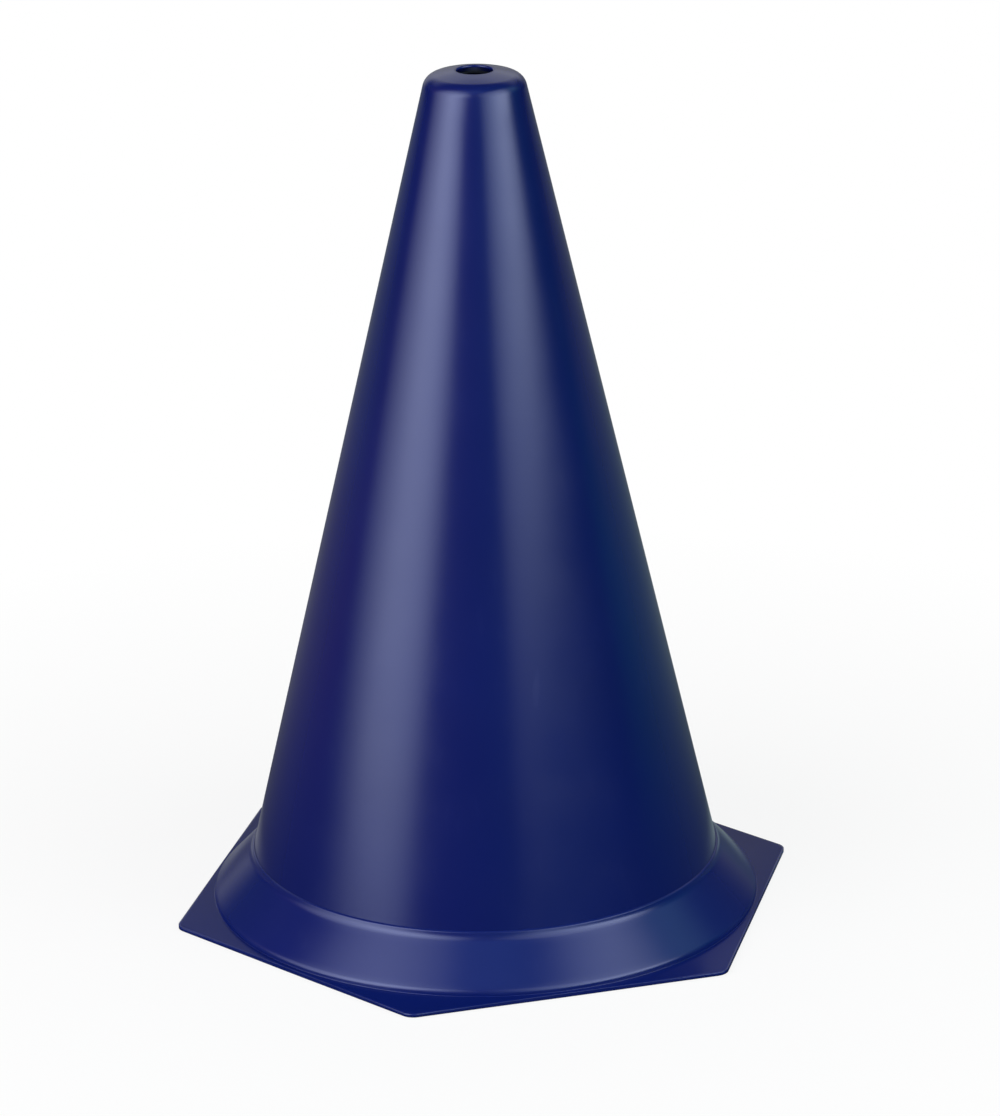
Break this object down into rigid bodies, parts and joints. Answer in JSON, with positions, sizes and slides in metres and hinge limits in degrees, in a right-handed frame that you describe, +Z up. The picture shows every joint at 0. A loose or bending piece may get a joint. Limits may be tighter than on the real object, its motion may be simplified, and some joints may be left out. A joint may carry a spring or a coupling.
{
  "type": "sports marker cone",
  "caption": "Hollow tapered marker cone with a pole hole in its top, standing in a hexagonal base with a flared collar that lifts off over the top.",
  "frame": {"origin": "on the floor, under the middle of the cone", "axes": "+Z up along the cone's axis; +X towards a corner of the hexagonal base"},
  "size_m": [0.172, 0.15, 0.2299],
  "materials": {
    "cone_plastic": "semi-gloss moulded navy blue",
    "base_plastic": "semi-gloss moulded navy blue"
  },
  "bodies": {
    "cone": {"cone_body": "cone_plastic"},
    "base": {"hex_base": "base_plastic"}
  },
  "joints": [
    {"name": "base_lift", "type": "slide", "parent": "cone", "child": "base", "axis": [0, 0, 1], "range_m": [0, 0.235]}
  ]
}
